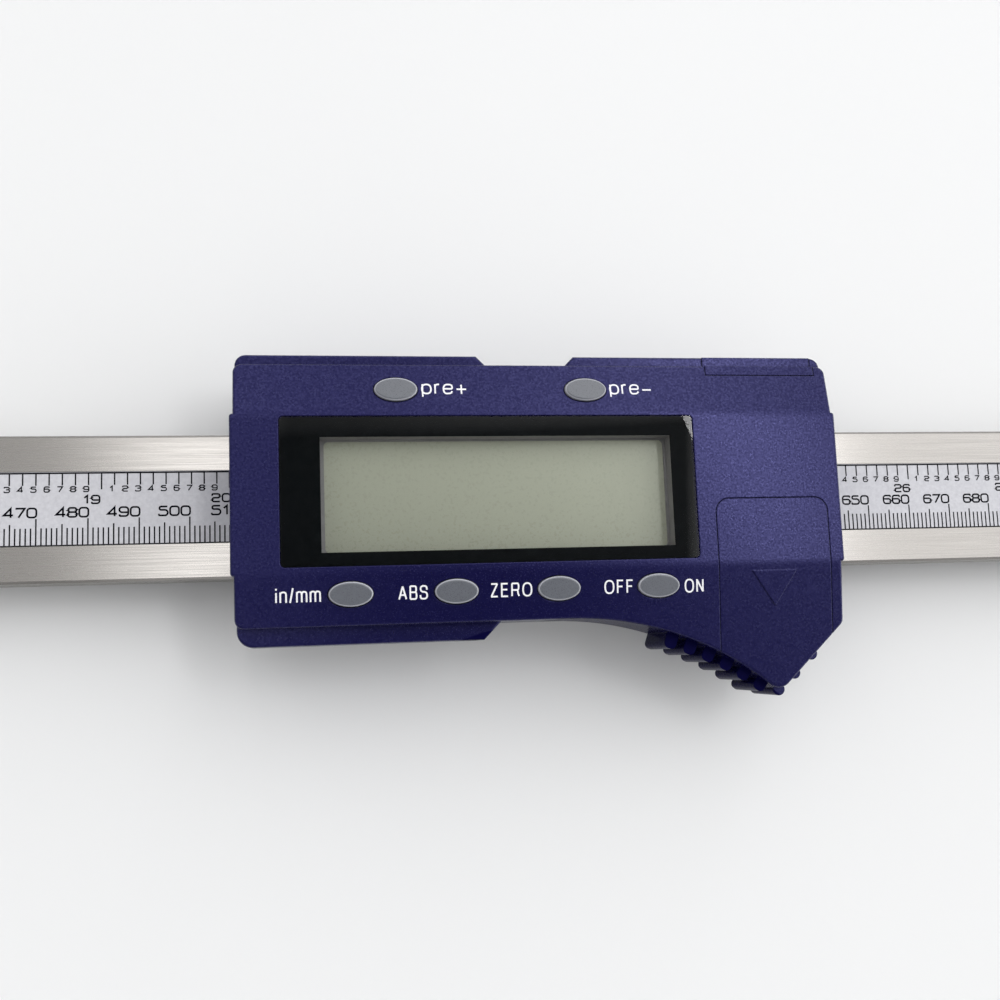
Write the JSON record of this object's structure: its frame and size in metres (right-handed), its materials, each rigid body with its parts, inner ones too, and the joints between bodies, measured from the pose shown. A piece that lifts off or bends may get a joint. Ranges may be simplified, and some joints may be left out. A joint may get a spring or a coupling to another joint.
{
  "type": "digital linear scale",
  "caption": "Digital linear scale: a slider with display, keys, battery cover and ribbed finger grip runs along a graduated steel beam on end brackets.",
  "frame": {"origin": "middle of the beam, on the plane that the end brackets are bolted to, at the centre of their four mounting holes", "axes": "+X along the beam towards higher readings, +Y across it, +Z out of the graduated front"},
  "size_m": [1.2072, 0.0725, 0.0296],
  "materials": {
    "housing_blue": "fine textured",
    "beam_steel": "ground along its length",
    "scale_print": "matte silver with black print",
    "circuit_green": "solder mask",
    "bracket_aluminium": "bead blasted",
    "carriage_steel": "ground",
    "screw_steel": "satin",
    "gib_brass": "satin",
    "window_clear": "clear",
    "mask_black": "printed black",
    "lcd_grey": "blank display",
    "frame_grey": "moulded",
    "zebra_rubber": "soft",
    "key_grey": "satin",
    "connector_black": "moulded",
    "contact_gold": "plated",
    "cell_steel": "polished",
    "legend_white": "printed white",
    "ink_black": "printed black"
  },
  "bodies": {
    "beam_frame": {"beam": "beam_steel", "stator_strip": "circuit_green", "graduation_strip": "scale_print", "end_bracket_left": "bracket_aluminium", "end_bracket_right": "bracket_aluminium", "foot_screws": "screw_steel"},
    "slider": {"carriage": "carriage_steel", "gib_strip": "gib_brass", "gib_screws": "screw_steel", "back_plate": "carriage_steel", "back_plate_screws": "screw_steel", "cover_screws": "screw_steel", "front_cover": "housing_blue", "display_window": "window_clear", "window_mask": "mask_black", "lcd_panel": "lcd_grey", "lcd_frame": "frame_grey", "zebra_strip": "zebra_rubber", "key_domes": "cell_steel", "main_board": "circuit_green", "board_screws": "screw_steel", "sensor_board": "circuit_green", "board_connector": "connector_black", "controller_chip": "connector_black", "data_contacts": "contact_gold", "coin_cell": "cell_steel", "battery_contact_negative": "contact_gold", "battery_contact_positive": "contact_gold"},
    "key_preset_plus": {"key_preset_plus": "key_grey"},
    "key_preset_minus": {"key_preset_minus": "key_grey"},
    "key_unit": {"key_unit": "key_grey"},
    "key_absolute": {"key_absolute": "key_grey"},
    "key_zero": {"key_zero": "key_grey"},
    "key_power": {"key_power": "key_grey"},
    "battery_cover": {"battery_cover": "housing_blue"},
    "data_port_cover": {"data_port_cover": "housing_blue"}
  },
  "joints": [
    {"name": "slider_travel", "type": "slide", "parent": "beam_frame", "child": "slider", "axis": [1, 0, 0], "range_m": [-0.5087, 0.4913]},
    {"name": "key_preset_plus_press", "type": "slide", "parent": "slider", "child": "key_preset_plus", "axis": [0, 0, -1], "range_m": [0, 0.0005], "stiffness_N_per_m": 2000},
    {"name": "key_preset_minus_press", "type": "slide", "parent": "slider", "child": "key_preset_minus", "axis": [0, 0, -1], "range_m": [0, 0.0005], "stiffness_N_per_m": 2000},
    {"name": "key_unit_press", "type": "slide", "parent": "slider", "child": "key_unit", "axis": [0, 0, -1], "range_m": [0, 0.0005], "stiffness_N_per_m": 2000},
    {"name": "key_absolute_press", "type": "slide", "parent": "slider", "child": "key_absolute", "axis": [0, 0, -1], "range_m": [0, 0.0005], "stiffness_N_per_m": 2000},
    {"name": "key_zero_press", "type": "slide", "parent": "slider", "child": "key_zero", "axis": [0, 0, -1], "range_m": [0, 0.0005], "stiffness_N_per_m": 2000},
    {"name": "key_power_press", "type": "slide", "parent": "slider", "child": "key_power", "axis": [0, 0, -1], "range_m": [0, 0.0005], "stiffness_N_per_m": 2000},
    {"name": "battery_cover_slide", "type": "slide", "parent": "slider", "child": "battery_cover", "axis": [0, -1, 0], "range_m": [0, 0.03]},
    {"name": "data_port_cover_pull", "type": "slide", "parent": "slider", "child": "data_port_cover", "axis": [0, 1, 0], "range_m": [0, 0.008]}
  ]
}
